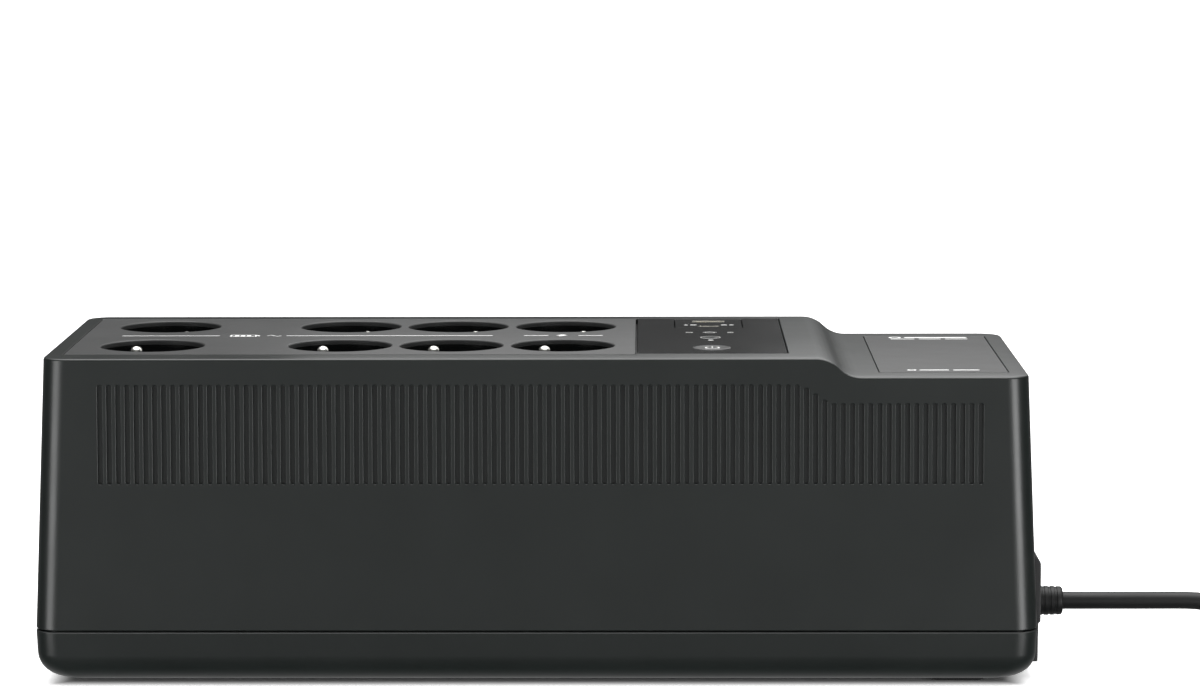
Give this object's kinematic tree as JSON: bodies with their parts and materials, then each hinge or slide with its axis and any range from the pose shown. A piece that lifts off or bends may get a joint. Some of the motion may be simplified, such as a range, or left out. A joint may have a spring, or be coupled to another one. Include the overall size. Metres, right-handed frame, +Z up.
{
  "type": "uninterruptible power supply",
  "caption": "Long, low backup power supply with two rows of round earthed outlets in its deck, a control panel, slotted sides and a mains lead from its right end.",
  "frame": {"origin": "on the floor, under the middle of the housing", "axes": "+X to the right along the length, towards the end with the mains lead; +Y to the back; +Z up"},
  "size_m": [0.5741, 0.2059, 0.1232],
  "materials": {
    "housing_plastic": "fine spark-eroded texture, charcoal black",
    "pan_plastic": "fine spark-eroded texture, a little darker than the housing",
    "deck_plastic": "fine texture, charcoal black with a soft sheen",
    "panel_gloss": "polished black panel",
    "end_plastic": "fine texture, black",
    "foot_rubber": "matt black rubber",
    "screw_steel": "zinc-plated steel",
    "well_plastic": "smooth black, semi-gloss",
    "shutter_plastic": "smooth dark grey",
    "pin_nickel": "bright nickel plate",
    "contact_brass": "rolled brass strip",
    "carrier_plastic": "off-white polyamide",
    "button_plastic": "satin black cap",
    "lens_clear": "smoked light guide",
    "circuit_board": "green solder mask",
    "tongue_plastic": "white connector insulator",
    "breaker_plastic": "smooth black",
    "reset_plastic": "light grey button",
    "battery_plastic": "smooth black battery case",
    "lead_red": "red PVC insulation",
    "lead_black": "black PVC insulation",
    "lamination_steel": "varnished steel laminations",
    "winding_copper": "enamelled copper wire under clear tape",
    "strap_steel": "zinc-plated strap",
    "heatsink_aluminium": "extruded aluminium",
    "transistor_black": "moulded epoxy",
    "relay_blue": "blue relay case",
    "capacitor_sleeve": "dark shrink sleeve",
    "cord_pvc": "soft black PVC, semi-matt"
  },
  "bodies": {
    "housing": {"top_cover": "housing_plastic", "base_pan": "pan_plastic", "outlet_deck": "deck_plastic", "control_panel": "panel_gloss", "cover_plate": "deck_plastic", "end_plate": "end_plastic", "rubber_feet": "foot_rubber", "housing_screws": "screw_steel", "socket_well_1": "well_plastic", "socket_well_2": "well_plastic", "socket_well_3": "well_plastic", "socket_well_4": "well_plastic", "socket_well_5": "well_plastic", "socket_well_6": "well_plastic", "socket_well_7": "well_plastic", "socket_well_8": "well_plastic", "earth_pins": "pin_nickel", "earth_bar": "contact_brass", "live_strips": "contact_brass", "neutral_strips": "contact_brass", "contact_carrier": "carrier_plastic", "carrier_screws": "screw_steel", "status_lens": "lens_clear", "control_board": "circuit_board", "usb_module": "end_plastic", "usb_a_shell": "pin_nickel", "usb_c_shell": "pin_nickel", "usb_tongues": "tongue_plastic", "breaker_body": "breaker_plastic", "data_socket": "breaker_plastic", "battery_case": "battery_plastic", "battery_lid": "battery_plastic", "battery_terminals": "contact_brass", "battery_lead_pos": "lead_red", "battery_lead_neg": "lead_black", "transformer_core": "lamination_steel", "transformer_winding": "winding_copper", "transformer_bracket": "strap_steel", "main_board": "circuit_board", "heatsinks": "heatsink_aluminium", "transistors": "transistor_black", "relays": "relay_blue", "capacitors": "capacitor_sleeve", "internal_screws": "screw_steel", "strain_relief": "cord_pvc", "mains_cord": "cord_pvc", "cord_coil": "cord_pvc", "plug_body": "cord_pvc", "plug_contacts": "pin_nickel"},
    "shutter_1_body": {"shutter_1": "shutter_plastic"},
    "shutter_2_body": {"shutter_2": "shutter_plastic"},
    "shutter_3_body": {"shutter_3": "shutter_plastic"},
    "shutter_4_body": {"shutter_4": "shutter_plastic"},
    "shutter_5_body": {"shutter_5": "shutter_plastic"},
    "shutter_6_body": {"shutter_6": "shutter_plastic"},
    "shutter_7_body": {"shutter_7": "shutter_plastic"},
    "shutter_8_body": {"shutter_8": "shutter_plastic"},
    "power_button_body": {"power_button": "button_plastic"},
    "breaker_button_body": {"breaker_button": "reset_plastic"},
    "battery_door_body": {"battery_door": "pan_plastic"}
  },
  "joints": [
    {"name": "shutter_1_slide", "type": "slide", "parent": "housing", "child": "shutter_1_body", "axis": [0.7071, -0.7071, 0], "range_m": [0, 0.0062], "stiffness_N_per_m": 150, "springref_m": -0.002},
    {"name": "shutter_2_slide", "type": "slide", "parent": "housing", "child": "shutter_2_body", "axis": [0.7071, -0.7071, 0], "range_m": [0, 0.0062], "stiffness_N_per_m": 150, "springref_m": -0.002},
    {"name": "shutter_3_slide", "type": "slide", "parent": "housing", "child": "shutter_3_body", "axis": [0.7071, -0.7071, 0], "range_m": [0, 0.0062], "stiffness_N_per_m": 150, "springref_m": -0.002},
    {"name": "shutter_4_slide", "type": "slide", "parent": "housing", "child": "shutter_4_body", "axis": [0.7071, -0.7071, 0], "range_m": [0, 0.0062], "stiffness_N_per_m": 150, "springref_m": -0.002},
    {"name": "shutter_5_slide", "type": "slide", "parent": "housing", "child": "shutter_5_body", "axis": [-0.7071, 0.7071, 0], "range_m": [0, 0.0062], "stiffness_N_per_m": 150, "springref_m": -0.002},
    {"name": "shutter_6_slide", "type": "slide", "parent": "housing", "child": "shutter_6_body", "axis": [-0.7071, 0.7071, 0], "range_m": [0, 0.0062], "stiffness_N_per_m": 150, "springref_m": -0.002},
    {"name": "shutter_7_slide", "type": "slide", "parent": "housing", "child": "shutter_7_body", "axis": [-0.7071, 0.7071, 0], "range_m": [0, 0.0062], "stiffness_N_per_m": 150, "springref_m": -0.002},
    {"name": "shutter_8_slide", "type": "slide", "parent": "housing", "child": "shutter_8_body", "axis": [-0.7071, 0.7071, 0], "range_m": [0, 0.0062], "stiffness_N_per_m": 150, "springref_m": -0.002},
    {"name": "power_button_press", "type": "slide", "parent": "housing", "child": "power_button_body", "axis": [0, 0, -1], "range_m": [0, 0.0012], "stiffness_N_per_m": 900, "springref_m": -0.0008},
    {"name": "breaker_reset_press", "type": "slide", "parent": "housing", "child": "breaker_button_body", "axis": [-1, 0, 0], "range_m": [0, 0.0025], "stiffness_N_per_m": 600, "springref_m": -0.001},
    {"name": "battery_door_slide", "type": "slide", "parent": "housing", "child": "battery_door_body", "axis": [1, 0, 0], "range_m": [0, 0.015]}
  ]
}
